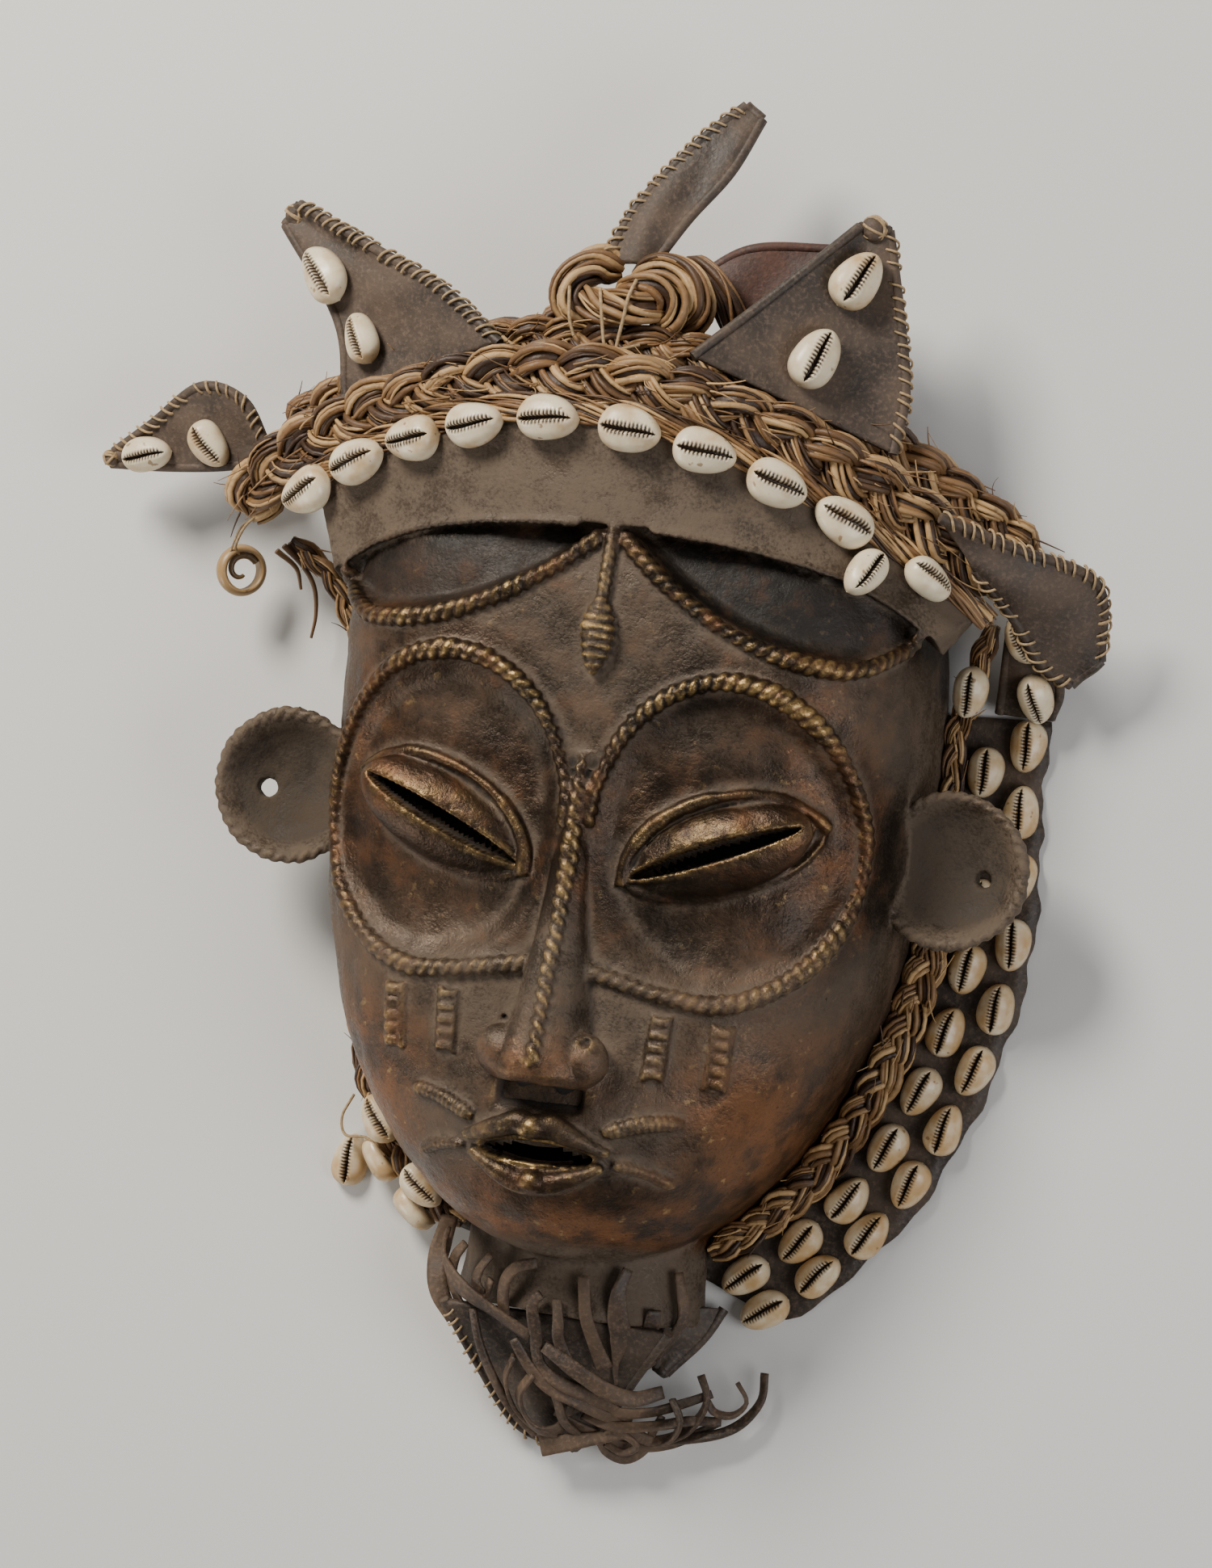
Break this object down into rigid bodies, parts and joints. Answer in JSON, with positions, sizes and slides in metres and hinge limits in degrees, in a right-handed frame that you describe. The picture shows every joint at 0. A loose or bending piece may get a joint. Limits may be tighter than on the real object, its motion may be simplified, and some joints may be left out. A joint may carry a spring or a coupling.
{
  "type": "bronze face mask with cowrie head-dress",
  "caption": "Hollow cast bronze face mask with ringed slit eyes, cupped ears and a flared brow, dressed with fibre plaits, stitched leather points and cowrie shells.",
  "frame": {"origin": "on the floor, under the middle of the whole object as it lies on its back", "axes": "+Z out of the face, +Y towards the crown, +X to the viewer's right"},
  "size_m": [0.348, 0.451, 0.1102],
  "materials": {
    "bronze": "dark brown patina with rubbed golden cords and a copper-brown chin",
    "plant_fibre": "dry plaited plant fibre",
    "dark_leather": "dry dark suede, stitched",
    "cowrie": "glossy ivory shell with a dark toothed slit",
    "thong_leather": "stiff dark thongs"
  },
  "bodies": {
    "root": {"back_flap": "dark_leather", "broken_cowrie": "cowrie", "bronze_mask": "bronze", "brow_cowrie_01": "cowrie", "brow_cowrie_02": "cowrie", "brow_cowrie_03": "cowrie", "brow_cowrie_04": "cowrie", "brow_cowrie_05": "cowrie", "brow_cowrie_06": "cowrie", "brow_cowrie_07": "cowrie", "brow_cowrie_08": "cowrie", "brow_cowrie_09": "cowrie", "brow_cowrie_10": "cowrie", "brow_cowrie_11": "cowrie", "brow_plait": "plant_fibre", "chin_pouch": "dark_leather", "cowrie_band": "dark_leather", "crown_knot": "plant_fibre", "crown_plait": "plant_fibre", "inner_cowrie_05": "cowrie", "inner_cowrie_06": "cowrie", "inner_cowrie_07": "cowrie", "inner_cowrie_08": "cowrie", "inner_cowrie_09": "cowrie", "inner_cowrie_10": "cowrie", "left_flap": "dark_leather", "left_flap_cowrie_01": "cowrie", "left_flap_cowrie_02": "cowrie", "left_point": "dark_leather", "left_point_cowrie_01": "cowrie", "left_point_cowrie_02": "cowrie", "loose_cowrie_01": "cowrie", "loose_cowrie_02": "cowrie", "loose_cowrie_03": "cowrie", "outer_cowrie_05": "cowrie", "outer_cowrie_06": "cowrie", "outer_cowrie_07": "cowrie", "outer_cowrie_08": "cowrie", "outer_cowrie_09": "cowrie", "outer_cowrie_10": "cowrie", "outer_cowrie_11": "cowrie", "right_flap": "dark_leather", "right_point": "dark_leather", "right_point_cowrie_01": "cowrie", "right_point_cowrie_02": "cowrie", "side_plait_left": "plant_fibre", "side_plait_right": "plant_fibre", "temple_cowrie_01": "cowrie", "temple_cowrie_02": "cowrie", "temple_cowrie_03": "cowrie", "temple_strap": "dark_leather", "thong_tassel": "thong_leather", "top_flap": "dark_leather"}
  },
  "joints": []
}
